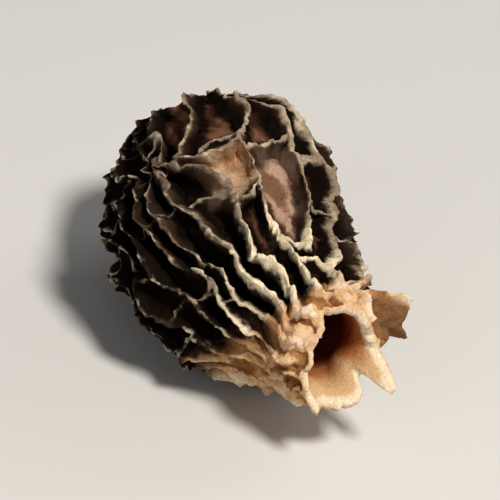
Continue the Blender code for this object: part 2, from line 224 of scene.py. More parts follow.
RIDGE_WIDTH = 0.29  # from the crest to where a ridge has sunk to 37 % of its height
RIDGE_SHARPNESS = 2.2
LEAN = 0.24  # how far crests lean sideways, as a fraction of their height
CREST_NICKS = ((0.06, 1.3), (0.04, 0.55))  # (fraction of the height, wavelength)
STRAIGHTENS = 0.8  # how much less the ribs swing where they thicken
# How much deeper the nicks are round one side, and how much shallower on the stem
BROKEN = 0.4
BROKEN_TURN = math.radians(115)
STEM_SMOOTHER = 0.8
# Low folds on the floors of the pits, each a share of the way to the next rib
VEIN_FIRST = (2.5, 4.0)
VEIN_GAP = (0.7, 1.7)
VEIN_SHARE = (0.35, 0.8)
VEIN_HEIGHT = (0.22, 0.42)
VEIN_WIDTH = 0.55  # as a fraction of RIDGE_WIDTH
VEIN_SLANT = 1.3
VEIN_BEND = 0.4
VEIN_SEED = 17
NARROWEST_WITH_VEINS = 1.0  # no veins where the gap between two ribs is smaller
# Folds of the stem's surface: their wavelength across it, and what a distance along it counts as,
# so that they are drawn out into strands
STEM_FOLDS = 0.8
STEM_FOLD_STRETCH = 0.2
STEM_FOLD_HEIGHT = 0.11
STEM_FOLD_SEED = 101
STEM_RADIUS = 3.0
STEM_TWIST = 0.10  # radians per mm along
# Small waves of the outside, and how ragged the rim is: (amount, wavelength, seed)
CRINKLES = ((0.05, 1.6, 41), (0.05, 0.95, 51), (0.028, 0.45, 61), (0.010, 0.26, 71))
TORN_RIM = ((0.16, 2.2, 71), (0.09, 0.8, 81), (0.05, 0.35, 91))
BRIGHT_TURN = math.radians(12)  # where the pale ends of the ribs reach furthest up the cap
BRIGHT_LATER = 9.0  # they start twice this much further along on the other side
# The top side: outside, painted light browns its pits and pales its crests; inside, painted shade
# darkens the hollow's wall there
PAINTED_LIGHT_TURN = math.radians(-15)  # the side whose flesh is browner and its crests paler
CREASED_TURN = math.radians(105)  # the side where the stem is tan with brown creases
# This side also gets painted shade sooner inside the hollow
WORN_AND_HOLLOW_SHADE_TURN = math.radians(-60)  # the side where the crests are worn pale the widest

COLUMNS = 900
ROW_STEP = 0.055
RIM_RINGS = 9  # from the outside over the rounded rim to the inside, both ends counted
INNER_ROWS = slice(-1, 0, -3)  # the hollow is plain, so it takes every third row, from the mouth
RIM_DEPTH = 0.5  # the distance inside grows from 0 to this over the rim
TRIANGLES = 190000
SEAM_MARGIN = 0.04  # as a fraction of the way round
HOLLOW_SHARE = 0.35  # how much room the hollow gets when the surface is laid out flat

# ---- studio ----

CAMERA_AZIMUTH = math.radians(52.1)
CAMERA_ELEVATION = math.radians(33.1)
CAMERA_ROLL = math.radians(13.3)
CAMERA_DISTANCE = 0.30  # metres
FRAME_WIDTH = 0.028  # metres across the picture at the mushroom
FLOOR_REACH = 1.5  # metres from the middle to each side
FLOOR_COLOUR = (0.62, 0.61, 0.59)
FLOOR_ROUGHNESS = 0.6
# Name, direction from the mushroom, distance and size in metres, power in watts, colour
LIGHTS = (
    ("key", (0.45, 0.05, 0.85), 0.32, 0.08, 1.2, (1.0, 0.95, 0.88)),
    ("fill", (0.3, -0.9, 0.35), 0.40, 0.25, 0.26, (1.0, 0.98, 0.96)),
    ("back", (-0.2, 0.9, 0.5), 0.40, 0.25, 0.30, (1.0, 0.98, 0.95)),
)
SURROUNDINGS_COLOUR = (0.98, 0.98, 1.0)
SURROUNDINGS_STRENGTH = 0.13


def smoothstep(low, high, x):
    t = np.clip((np.asarray(x, float) - low) / (high - low), 0, 1)
    return t * t * (3 - 2 * t)


def bump(angle, middle, spread):
    """1 at the middle angle, and falling smoothly to 0 within about twice the spread."""
    return np.exp(-(((angle - middle + math.pi) % TAU - math.pi) / spread) ** 2)


def wave_noise(points, wavelength, seed, waves=16):
    """Smooth noise of about unit size: sine waves that run in random directions."""
    rng = np.random.default_rng(seed)
    heading = rng.normal(size=(waves, 3))
    heading /= np.linalg.norm(heading, axis=1, keepdims=True)
    heading *= TAU / (wavelength * rng.uniform(0.7, 1.5, (waves, 1)))
    return np.sin(points @ heading.T + rng.uniform(0, TAU, waves)).sum(-1) * math.sqrt(2 / waves)


def wave_shift(points, waves):
    """A displacement of each point for (amount, wavelength, seed) waves."""
    shift = np.zeros_like(points)
    for amount, wavelength, seed in waves:
        for axis in range(3):
            shift[..., axis] += amount * wave_noise(points, wavelength, seed + axis)
    return shift


def smooth_outline(step):
    """Catmull-Rom curve through OUTLINE at equal steps: the distances before the mouth, the radii,
    and the distances along."""
    ends = np.array(OUTLINE)
    before = ends[1] * (1, -1)
    after = 2 * ends[-1] - ends[-2]
    knots = np.vstack([before, ends, after])
    t = np.linspace(0, 1, 30, endpoint=False)[:, None]
    pieces = []
    for a, b, c, d in zip(knots, knots[1:], knots[2:], knots[3:]):
        cubic = (-a + 3 * b - 3 * c + d) * t**3 + (2 * a - 5 * b + 4 * c - d) * t**2
        pieces.append((2 * b + (c - a) * t + cubic) / 2)
    curve = np.vstack(pieces + [ends[-1:]])
    length = np.concatenate([[0], np.cumsum(np.linalg.norm(np.diff(curve, axis=0), axis=1))])
    along = np.linspace(0, length[-1], round(length[-1] / step) + 1)
    return np.interp(along, length, curve[:, 0]), np.interp(along, length, curve[:, 1]), along


def stemward(along, angle):
    """The distance along, made longer on the side where the stem reaches further up."""
    return along + NECK_EARLIER * (1 - np.cos(angle - NECK_TURN)) / 2


def neck_share(along, angle):
    """From 0 on the cap to 1 on the stem."""
    return smoothstep(NECK_FROM, NECK_TO, stemward(along, angle))


def ridge_envelope(along, angle):
    """How high ridges stand. They rise behind the tip, are lowest on one side, and sink to folds
    that end at the mouth."""
    rise = TIP_HEIGHT + (1 - TIP_HEIGHT) * smoothstep(TIP_FROM, TIP_TO, along)
    side = 1 - (1 - LOW_SIDE_HEIGHT) * np.maximum(np.cos(angle - LOW_SIDE_TURN), 0) ** 2
    neck = 1 - (1 - NECK_HEIGHT) * neck_share(along, angle)
    return rise * side * neck * (1 - smoothstep(NECK_TO, FOLDS_END, along))


def rib_list(rng):
    """Every rib in order round the cap, each as in SHAPED_RIBS."""
    ribs = list(SHAPED_RIBS)
    for n in range(PLAIN_RIBS):
        home = PLAIN_RIBS_FROM + (PLAIN_RIBS_TO - PLAIN_RIBS_FROM) * n / (PLAIN_RIBS - 1)
        angles = home + rng.uniform(-PLAIN_RIB_SHIFT, PLAIN_RIB_SHIFT, len(RIB_STATIONS))
        start = PLAIN_RIB_STARTS[n % len(PLAIN_RIB_STARTS)] * rng.uniform(*PLAIN_RIB_VARIES)
        thickness = rng.uniform(*PLAIN_RIB_VARIES)
        ribs.append((start, MOUTH, thickness, PLAIN_RIB_THICKENS * thickness, angles))
    return ribs


def rib_angle(rib, phases, along, radius_at):
    """The angle round the axis at which a rib stands, in radians."""
    place = np.interp(along, RIB_STATIONS, np.arange(len(RIB_STATIONS)))
    first = np.minimum(place.astype(int), len(RIB_STATIONS) - 2)
    angles = np.radians(np.asarray(rib[-1], float))
    angle = angles[first] + (angles[first + 1] - angles[first]) * smoothstep(0, 1, place - first)
    calm = 1 - STRAIGHTENS * smoothstep(THICKENS_FROM, THICKENS_TO, along)
    for (swing, wavelength), phase in zip(RIB_WAVES, phases):
        swing = calm * swing / np.maximum(radius_at(along), 1.5)
        angle = angle + swing * np.sin(TAU * along / wavelength + phase)
    return angle


def nicks(along, angle, phase):
    """How a crest's height changes over short distances: most on the broken side, and least on the
    stem."""
    uneven = 1.0
    rough = 1 + BROKEN * np.maximum(np.cos(angle - BROKEN_TURN), 0)
    rough = rough * (1 - STEM_SMOOTHER * neck_share(along, angle))
    drift = np.sin(along * 1.9 + phase)
    for depth, wavelength in CREST_NICKS:
        uneven = uneven + rough * depth * np.sin(TAU * along / wavelength + phase + drift)
    return uneven


def crest_lines(radius_at, length):
    """Every ridge as (angle, along, height, width), each an array along its crest."""
    rng = np.random.default_rng(SEED)
    ribs = rib_list(rng)
    phases = rng.uniform(0, TAU, (len(ribs), 2))
    lines = [crossing(*ends) for ends in SHAPED_CROSSINGS]
    for rib, phase in zip(ribs, phases):
        start, end, thin, thick, _ = rib
        along = np.arange(start, min(end, FOLDS_END, length), RIB_STEP)
        uneven = 1 + RIB_RISES * np.sin(TAU * along / rng.uniform(*RIB_RISES_EVERY) + phase[0])
        angle = rib_angle(rib, phase, along, radius_at)
        height = RIDGE_HEIGHT * rng.uniform(*RIB_HEIGHT) * ridge_envelope(along, angle) * uneven
        height = height * nicks(along, angle, phase[1])
        near_stem = smoothstep(THICKENS_FROM, THICKENS_TO, along)
        width = RIDGE_WIDTH * (thin + (thick - thin) * near_stem)
        width = width * (1 - NECK_THINNER * neck_share(along, angle))
        lines.append((angle, along, height, width))
    vein_rng = np.random.default_rng(VEIN_SEED)
    for n in range(len(ribs)):
        order = [(ribs[k % len(ribs)], phases[k % len(ribs)]) for k in range(n, n + 4)]
        lines += cross_ridges(rng, order, radius_at)
        lines += veins(vein_rng, order, radius_at)
    return lines


def crossing(start, end):
    """A ridge of SHAPED_CROSSINGS, as crest_lines gives it."""
    t = np.linspace(0, 1, 9)
    along, angle, height = (first + (last - first) * t for first, last in zip(start, end))
    bow = np.sin(math.pi * t)
    along, height = along + CROSSING_BOW * bow, height * (1 - CROSSING_SAG * bow)
    return np.radians(angle), along, height, np.full_like(t, RIDGE_WIDTH * CROSSING_WIDTH)


def between(order, at, slant, radius_at):
    """From a rib to the next at a distance along: the angle it starts at, its turn, and the gap."""
    present = [item for item in order if item[0][0] < at < item[0][1]]
    if len(present) < 2 or present[0] is not order[0]:
        return NO_ROOM
    start = rib_angle(*present[0], at, radius_at)
    if stemward(at, start) > NECK_FROM:
        return NO_ROOM
    end = rib_angle(*present[1], at + slant, radius_at)
    turn = (end - start + math.pi) % TAU - math.pi
    middle = (math.degrees(start + turn / 2) + 180) % 360 - 180
    for low, high, begin, finish, _ in OPEN_FLOORS:
        if low < middle < high and begin < at < finish:
            return NO_ROOM
    return start, turn, abs(turn) * radius_at(at)


def cross_ridges(rng, order, radius_at):
    """The ridges that part the space between two ribs into pits."""
    lines = []
    t = np.linspace(0, 1, 9)
    bow = np.sin(math.pi * t)
    at = rng.uniform(*CROSS_RIDGE_FIRST)
    while at < CROSS_RIDGES_END:
        slant = rng.uniform(-CROSS_RIDGE_SLANT, CROSS_RIDGE_SLANT)
        start, turn, gap = between(order, at, slant, radius_at)
        bend = rng.uniform(-CROSS_RIDGE_BEND, CROSS_RIDGE_BEND) * bow
        height = RIDGE_HEIGHT * rng.uniform(*CROSS_RIDGE_HEIGHT) * ridge_envelope(at, start)
        height = height * (1 - CROSS_RIDGE_SAG * bow)
        width = np.full_like(t, RIDGE_WIDTH * rng.uniform(*CROSS_RIDGE_WIDTH))
        if gap > NARROWEST_PIT:
            lines.append((start + turn * t, at + slant * t + bend, height, width))
        at += rng.uniform(*CROSS_RIDGE_GAP) * (WIDE_PIT_LONGER if gap > WIDE_PIT else 1.0)
    return lines


def veins(rng, order, radius_at):
    """Low folds that run out from a rib over the floor of a pit and fade."""
    lines = []
    t = np.linspace(0, 1, 7)
    at = rng.uniform(*VEIN_FIRST)
    while at < NECK_TO:
        slant = rng.uniform(-VEIN_SLANT, VEIN_SLANT)
        start, turn, gap = between(order, at, slant, radius_at)
        share = rng.uniform(*VEIN_SHARE)
        if rng.random() < 0.5:
            start, turn = start + turn, -turn
        height = RIDGE_HEIGHT * rng.uniform(*VEIN_HEIGHT) * ridge_envelope(at, start) * (1 - t**2)
        bend = rng.uniform(-VEIN_BEND, VEIN_BEND) * t**2
        if gap > NARROWEST_WITH_VEINS:
            width = np.full_like(t, RIDGE_WIDTH * VEIN_WIDTH)
            lines.append((start + turn * share * t, at + slant * share * t + bend, height, width))
        at += rng.uniform(*VEIN_GAP)
    return lines


def crest_gap(theta, along, radius, angle, at):
    """For each row (along) and column (theta): the distance over the wall to a crest line, and how
    many of the line's steps lie before the nearest point on it."""
    near = np.full((len(along), len(theta)), np.inf)
    place = np.zeros_like(near)
    for n in range(len(at) - 1):
        low, high = min(at[n], at[n + 1]) - RIDGE_REACH, max(at[n], at[n + 1]) + RIDGE_REACH
        rows = np.flatnonzero((along > low) & (along < high))
        middle = (angle[n] + angle[n + 1]) / 2
        half = (angle[n + 1] - angle[n]) / 2
        turn = (theta - middle + math.pi) % TAU - math.pi
        spread = RIDGE_REACH / radius[rows].min() + abs(half)
        cols = np.flatnonzero(abs(turn) < spread)
        ring = radius[rows, None]
        aside = (turn[cols] + half) * ring
        ahead = along[rows, None] - at[n]
        run, rise = 2 * half * ring, at[n + 1] - at[n]
        t = np.clip((aside * run + ahead * rise) / (run**2 + rise**2), 0, 1)
        gap = np.hypot(aside - t * run, ahead - t * rise)
        window = np.ix_(rows, cols)
        closer = gap < near[window]
        near[window] = np.where(closer, gap, near[window])
        place[window] = np.where(closer, n + t, place[window])
    return near, place


def ridge_relief(along, radius, columns):
    """For each row (along) and column (angle): the ridges' height over the wall, and the distance
    to the nearest crest, which a thick ridge makes shorter."""
    theta = np.arange(columns) * TAU / columns
    radius = np.maximum(radius + MIDDLE_OF_RIDGES * smoothstep(0, 4, along), 0.3)
    total = np.zeros((len(along), columns))
    crest_at = np.full_like(total, RIDGE_REACH)
    for angle, at, height, width in crest_lines(lambda s: np.interp(s, along, radius), along[-1]):
        rows = np.flatnonzero((along > at.min() - RIDGE_REACH) & (along < at.max() + RIDGE_REACH))
        near, place = crest_gap(theta, along[rows], radius[rows], angle, at)
        cols = np.flatnonzero(np.isfinite(near).any(axis=0))
        near, place = near[:, cols], place[:, cols]
        window = np.ix_(rows, cols)
        steps = np.arange(len(at))
        peak, wide = np.interp(place, steps, height), np.interp(place, steps, width)
        total[window] += (peak * np.exp(-((near / wide) ** RIDGE_SHARPNESS))) ** FILLET
        if height.max() > VEIN_HEIGHT[1] * RIDGE_HEIGHT:
            crest_at[window] = np.minimum(crest_at[window], near * RIDGE_WIDTH / wide)
    neck = neck_share(along[:, None], theta) * (1 - smoothstep(NECK_TO, FOLDS_END, along[:, None]))
    return total ** (1 / FILLET) + NECK_FLOOR * RIDGE_HEIGHT * neck, crest_at


def torn_back(theta):
    """How far the notch and the small tears take the rim back at an angle round. The flap stands
    forward instead."""
    torn = NOTCH_DEPTH * bump(theta, NOTCH_TURN, NOTCH_SPREAD)
    torn = torn - FLAP_LENGTH * bump(theta, FLAP_TURN, FLAP_SPREAD)
    round_rim = np.stack([3 * np.cos(theta), 3 * np.sin(theta), 0 * theta], -1)
    for amount, wavelength, seed in TORN_RIM:
        torn = torn + amount * wave_noise(round_rim, wavelength, seed)
    return torn


def shaped(before_mouth, radius, theta):
    """Points of the lobed, torn and bent body for a distance before the mouth, a radius and an
    angle."""
    # the small lobes turn slowly round the body from the mouth to the tip
    lobes = OVALNESS * np.cos(2 * (theta - OVAL_TURN))
    lobes = lobes + FIVE_LOBES * np.cos(5 * theta + before_mouth / 3)
    lobes = lobes + THREE_LOBES * np.cos(3 * theta - 1.1 + before_mouth / 8)
    to_mouth = 1 - smoothstep(0, MOUTH_REACH, before_mouth)
    radius = radius * (1 + lobes * (1 - to_mouth))
    flare = FLARE * bump(theta, FLARE_TURN, FLARE_SPREAD)
    radius = radius + flare * (1 - smoothstep(0, FLARE_REACH, before_mouth))
    turned = theta - MOUTH_TURN
    pressed = MOUTH_NARROWER + MOUTH_DROP * np.cos(turned)
    narrow = radius * np.sin(turned) * (1 - pressed * to_mouth)
    tall = radius * np.cos(turned) * (1 + MOUTH_TALLER * to_mouth)
    aside = narrow * math.cos(MOUTH_TURN) + tall * math.sin(MOUTH_TURN)
    upward = tall * math.cos(MOUTH_TURN) - narrow * math.sin(MOUTH_TURN)
    cut = TEAR_BACK * (1 + np.cos(turned)) / 2
    waves = sum(share * np.sin(count * theta + phase) for share, count, phase in RIM_WAVES)
    x = -before_mouth - (cut + TEAR_WAVES * waves) * to_mouth**1.5
    x = x - torn_back(theta) * (1 - smoothstep(0, TORN_REACH, before_mouth))
    to_tip = smoothstep(TIP_BEND_FROM, TIP_BEND_TO, before_mouth)
    for bend, turn in ((STEM_BEND * to_mouth, STEM_BEND_TURN), (TIP_BEND * to_tip, TIP_BEND_TURN)):
        aside, upward = aside + bend * math.sin(turn), upward + bend * math.cos(turn)
    return np.stack([x, -aside, upward], -1)


def outward_normals(flat):
    """Which way is out of the wall at each of its points."""
    step_along, step_round = np.gradient(flat, axis=0), np.roll(flat, -1, 1) - np.roll(flat, 1, 1)
    normal = np.cross(step_round, step_along)
    normal[0] = (-1, 0, 0)
    return normal / np.linalg.norm(normal, axis=2, keepdims=True)


def stem_folds(along, theta):
    """Noise drawn out into strands that wind round the stem."""
    twisted = theta + STEM_TWIST * (along[:, None] - along[-1])
    stretched = STEM_FOLD_STRETCH * along[:, None] + 0 * theta
    strands = [STEM_RADIUS * np.cos(twisted), STEM_RADIUS * np.sin(twisted), stretched]
    return wave_noise(np.stack(strands, -1), STEM_FOLDS, STEM_FOLD_SEED)


def body_rings():
    """Rings of points from the outer tip over the cap and the rim to the inner tip, and what the
    material needs at each point."""
    before_mouth, radius, along = smooth_outline(ROW_STEP)
    theta = np.arange(COLUMNS) * TAU / COLUMNS
    slope = np.stack([np.gradient(before_mouth), np.gradient(radius)])
    outward = np.stack([slope[1], -slope[0]]) / np.linalg.norm(slope, axis=0)
    relief, crest_at = ridge_relief(along, radius, COLUMNS)

    # the wall, then its leaning ridges, its crinkles and the folds of the stem
    flat = shaped(before_mouth[:, None], radius[:, None], theta)
    normal = outward_normals(flat)
    sideways = np.cross(normal, (1.0, 0.0, 0.0))
    lean = LEAN * wave_noise(flat, LEAN_WAVELENGTH, LEAN_SEED)
    outer = flat + (normal + sideways * lean[..., None]) * relief[..., None]
    outer += wave_shift(outer, CRINKLES) * smoothstep(0, 2, before_mouth)[:, None, None]
    folds = stem_folds(along, theta)
    outer += normal * (STEM_FOLD_HEIGHT * folds * neck_share(along[:, None], theta))[..., None]

    # half a circle over the rim, then the hollow, which lies inside by the wall's thickness
    half_wall = WALL_THICKNESS / 2
    rim = []
    for turn in np.linspace(0, math.pi, RIM_RINGS)[1:-1]:
        out = half_wall * (math.cos(turn) - 1)
        ring = shaped(before_mouth[-1] - half_wall * math.sin(turn), radius[-1] + out, theta)
        rim.append(ring + normal[-1] * (relief[-1] * (1 + math.cos(turn)) / 2)[:, None])
    inner = shaped(
        (before_mouth - WALL_THICKNESS * outward[0])[INNER_ROWS, None],
        (radius - WALL_THICKNESS * outward[1])[INNER_ROWS, None],
        theta,
    )
    rings = np.concatenate([outer[1:], rim, inner])
    rings += wave_shift(rings, BODY_WAVES)

    depth = np.concatenate([
        np.zeros(len(outer) - 1),
        np.linspace(0, RIM_DEPTH, len(rim)),
        RIM_DEPTH + (along[-1] - along[INNER_ROWS]),
    ])
    fields = fields_outside(along, theta, relief, crest_at, folds, len(rings))
    return rings, fields | fields_everywhere(along, theta, depth)


def fields_outside(along, theta, relief, crest_at, folds, count):
    """What the material needs of the outer rings."""
    later = BRIGHT_LATER * (1 - np.cos(theta - BRIGHT_TURN))
    return {
        "rise": over_rings(relief[1:] / RIDGE_HEIGHT, count),
        "crest_at": over_rings(crest_at[1:], count),
        "folds": over_rings(folds[1:], count),
        "bare": over_rings(bare_floor(along[1:, None], theta), count),
        "bright": over_rings(along[1:, None] - later, count),
    }


def fields_everywhere(along, theta, depth):
    """What the material and the layout for baking need of every ring: how far it lies inside, how
    far along, and at which angles its points stand."""
    inward = np.full(len(depth) - len(along) + 1, along[-1])
    reach = np.append(along[1:], inward)[:, None]
    depth = depth[:, None]
    rounds = np.broadcast_to(theta, (len(depth), len(theta)))
    way = (reach + HOLLOW_SHARE * depth) / (1 + HOLLOW_SHARE) / along[-1]
    return {
        "stemward": stemward(reach, rounds),
        "inside": np.broadcast_to(depth, rounds.shape),
        "painted_light_side": np.cos(rounds - PAINTED_LIGHT_TURN),
        "creased_side": np.cos(rounds - CREASED_TURN),
        "worn_side_and_hollow_shade": np.cos(rounds - WORN_AND_HOLLOW_SHADE_TURN),
        "round_cos": np.cos(rounds),
        "round_sin": np.sin(rounds),
        "way": np.broadcast_to(way, rounds.shape),
    }


def bare_floor(along, theta):
    """How pale the floor of a wide pit is, and 0 where there is no such pit. It fades over 7
    degrees across and 1.3 mm along."""
    angle = (np.degrees(theta) + 180) % 360 - 180
    bare = 0 * along * angle
    for low, high, begin, finish, paleness in OPEN_FLOORS:
        across = smoothstep(low - 4, low + 3, angle) - smoothstep(high - 3, high + 4, angle)
        lengthways = smoothstep(begin - 0.8, begin + 0.5, along)
        lengthways = lengthways - smoothstep(finish - 0.5, finish + 0.8, along)
        bare = np.maximum(bare, paleness * across * lengthways)
    return bare


def over_rings(outer_values, count):
    """Values of the outer rings, with nothing on the rim and the inner rings."""
    values = np.zeros((count, outer_values.shape[1]))
    values[: len(outer_values)] = outer_values
    return values


def laid_to_rest(points):
    """Turns the body as it lies, with its lowest crests pressed flat on the ground."""
    roll_cos, roll_sin = math.cos(REST_ROLL), math.sin(REST_ROLL)
    pitch_cos, pitch_sin = math.cos(REST_PITCH), math.sin(REST_PITCH)
    roll = np.array([(1, 0, 0), (0, roll_cos, -roll_sin), (0, roll_sin, roll_cos)])
    pitch = np.array([(pitch_cos, 0, pitch_sin), (0, 1, 0), (-pitch_sin, 0, pitch_cos)])
    points = points @ (pitch @ roll).T
    points[:, 2] = np.maximum(points[:, 2] - points[:, 2].min() - PRESSED_FLAT, 0)
    return points


def fitted(points, low, high):
    """Points moved and stretched a very little, to fill the box from low to high."""
    least, most = points.min(axis=0), points.max(axis=0)
    return low + (points - least) * (high - low) / (most - least)


def closed_mesh(name, rings, fields, box):
    """One closed surface from rings of points, with a point at each end and the fields as
    attributes."""
    count, columns = rings.shape[:2]
    points = np.vstack([rings.reshape(-1, 3), rings[0].mean(axis=0), rings[-1].mean(axis=0)])
    points = fitted(laid_to_rest(points) * MM, *np.array(box))
    here = (np.arange(count - 1)[:, None] * columns + np.arange(columns)).ravel()
    after = (np.arange(count - 1)[:, None] * columns + (np.arange(columns) + 1) % columns).ravel()
    quads = np.stack([here, here + columns, after + columns, after], 1)
    column = np.arange(columns)
    next_column = (column + 1) % columns
    tip = np.stack([np.full(columns, count * columns), column, next_column], 1)
    end = (count - 1) * columns
    last = np.full(columns, count * columns + 1)
    inner_tip = np.stack([last, end + next_column, end + column], 1)
    corners = np.concatenate([quads.ravel(), tip.ravel(), inner_tip.ravel()])
    sides = np.concatenate([np.full(len(quads), 4), np.full(2 * columns, 3)])
    starts = np.concatenate([[0], np.cumsum(sides)[:-1]])

    mesh = bpy.data.meshes.new(name)
    mesh.vertices.add(len(points))
    mesh.vertices.foreach_set("co", points.astype(np.float32).ravel())
    mesh.loops.add(len(corners))
    mesh.loops.foreach_set("vertex_index", corners.astype(np.int32))
    mesh.polygons.add(len(starts))
    mesh.polygons.foreach_set("loop_start", starts.astype(np.int32))
    mesh.update(calc_edges=True)
    for field, values in fields.items():
        layer = mesh.attributes.new(field, "FLOAT", "POINT")
        values = np.concatenate([values.ravel(), [values[0].mean(), values[-1].mean()]])
        layer.data.foreach_set("value", values.astype(np.float32))
    mesh.shade_smooth()
    return mesh


def thinned_out(obj, triangles):
    """Keeps the given number of triangles, most of them where the surface bends most."""
    corners = len(obj.data.loops) - 2 * len(obj.data.polygons)
    fewer = obj.modifiers.new("fewer faces", "DECIMATE")
    fewer.ratio = triangles / corners
    fewer.use_collapse_triangulate = True
    evaluated = obj.evaluated_get(bpy.context.evaluated_depsgraph_get())
    mesh = bpy.data.meshes.new_from_object(evaluated)
    obj.modifiers.clear()
    obj.data = mesh


def unwrapped(mesh):
    """Lays the surface out flat for baking: once round it across, and upwards from the tip over the
    cap and the rim into the hollow. Faces that cross from the last column to the first end in the
    margin."""
    values = {}
    for name in ("round_cos", "round_sin", "way"):
        values[name] = np.empty(len(mesh.vertices), np.float32)
        mesh.attributes[name].data.foreach_get("value", values[name])
    corners = np.empty(len(mesh.loops), np.int32)
    mesh.loops.foreach_get("vertex_index", corners)
    turns = np.arctan2(values["round_sin"], values["round_cos"])[corners].reshape(-1, 3) / TAU % 1
    crossing_over = turns.max(axis=1) - turns.min(axis=1) > 0.5
    turns[crossing_over] += turns[crossing_over] < 0.5
    places = np.stack([np.minimum(turns.ravel() / (1 + SEAM_MARGIN), 1), values["way"][corners]], 1)
    mesh.uv_layers.new(name="OFBake").data.foreach_set("uv", places.astype(np.float32).ravel())


# ---- materials ----

# Colours are linear red, green and blue. Two colours in one mix are the ends of a random range, or
# what comes before and after a change over the surface.


class Nodes:
    """Short ways to add shader nodes."""

    def __init__(self, name):
        self.material = bpy.data.materials.new(name)
        self.material.use_nodes = True
        self.tree = self.material.node_tree
        self.shader = self.tree.nodes["Principled BSDF"]
        place = self.add("ShaderNodeTexCoord").outputs["Object"]
        scale = self.add("ShaderNodeVectorMath", operation="SCALE")
        scale.inputs["Scale"].default_value = 1 / MM
        self.link(place, scale.inputs[0])
        self.place = scale.outputs[0]

    def add(self, kind, **settings):
        node = self.tree.nodes.new(kind)
        for name, value in settings.items():
            setattr(node, name, value)
        return node

    def link(self, value, socket):
        if isinstance(value, bpy.types.NodeSocket):
            self.tree.links.new(value, socket)
        else:
            socket.default_value = value

    def field(self, name):
        return self.add("ShaderNodeAttribute", attribute_name=name).outputs["Fac"]

    def math(self, operation, a, b=0.0):
        node = self.add("ShaderNodeMath", operation=operation)
        self.link(a, node.inputs[0])
        self.link(b, node.inputs[1])
        return node.outputs[0]

    def times(self, a, b):
        return self.math("MULTIPLY", a, b)

    def sum(self, *values):
        total = values[0]
        for value in values[1:]:
            total = self.math("ADD", total, value)
        return total

    def around(self, noise, spread):
        """The noise as an offset: its middle gives 0, and its ends half the spread each way."""
        return self.times(self.math("SUBTRACT", noise, 0.5), spread)

    def ramp(self, value, low, high, to_low=0.0, to_high=1.0):
        """Goes smoothly from one result to the other as the value goes from low to high."""
        node = self.add("ShaderNodeMapRange", interpolation_type="SMOOTHSTEP")
        for socket, number in zip(node.inputs, (value, low, high, to_low, to_high)):
            self.link(number, socket)
        return node.outputs[0]

    def noise(self, size, detail=3.0, roughness=0.55, seed=0.0):
        """Noise with blobs of about the given size in millimetres, from 0 to 1."""
        node = self.add("ShaderNodeTexNoise", noise_dimensions="4D")
        self.link(self.place, node.inputs["Vector"])
        self.link(seed, node.inputs["W"])
        self.link(1 / size, node.inputs["Scale"])
        self.link(detail, node.inputs["Detail"])
        self.link(roughness, node.inputs["Roughness"])
        return node.outputs["Fac"]

    def mix(self, share, a, b):
        """The first colour where the share is 0, and the second where it is 1."""
        node = self.add("ShaderNodeMix", data_type="RGBA")
        self.link(share, node.inputs["Factor"])
        self.link((*a, 1) if isinstance(a, tuple) else a, node.inputs[6])
        self.link((*b, 1) if isinstance(b, tuple) else b, node.inputs[7])
        return node.outputs[2]

    def bump(self, height, distance, strength, normal=None):
        node = self.add("ShaderNodeBump")
        self.link(height, node.inputs["Height"])
        self.link(distance * MM, node.inputs["Distance"])
        self.link(strength, node.inputs["Strength"])
        if normal is not None:
            self.link(normal, node.inputs["Normal"])
        return node.outputs[0]


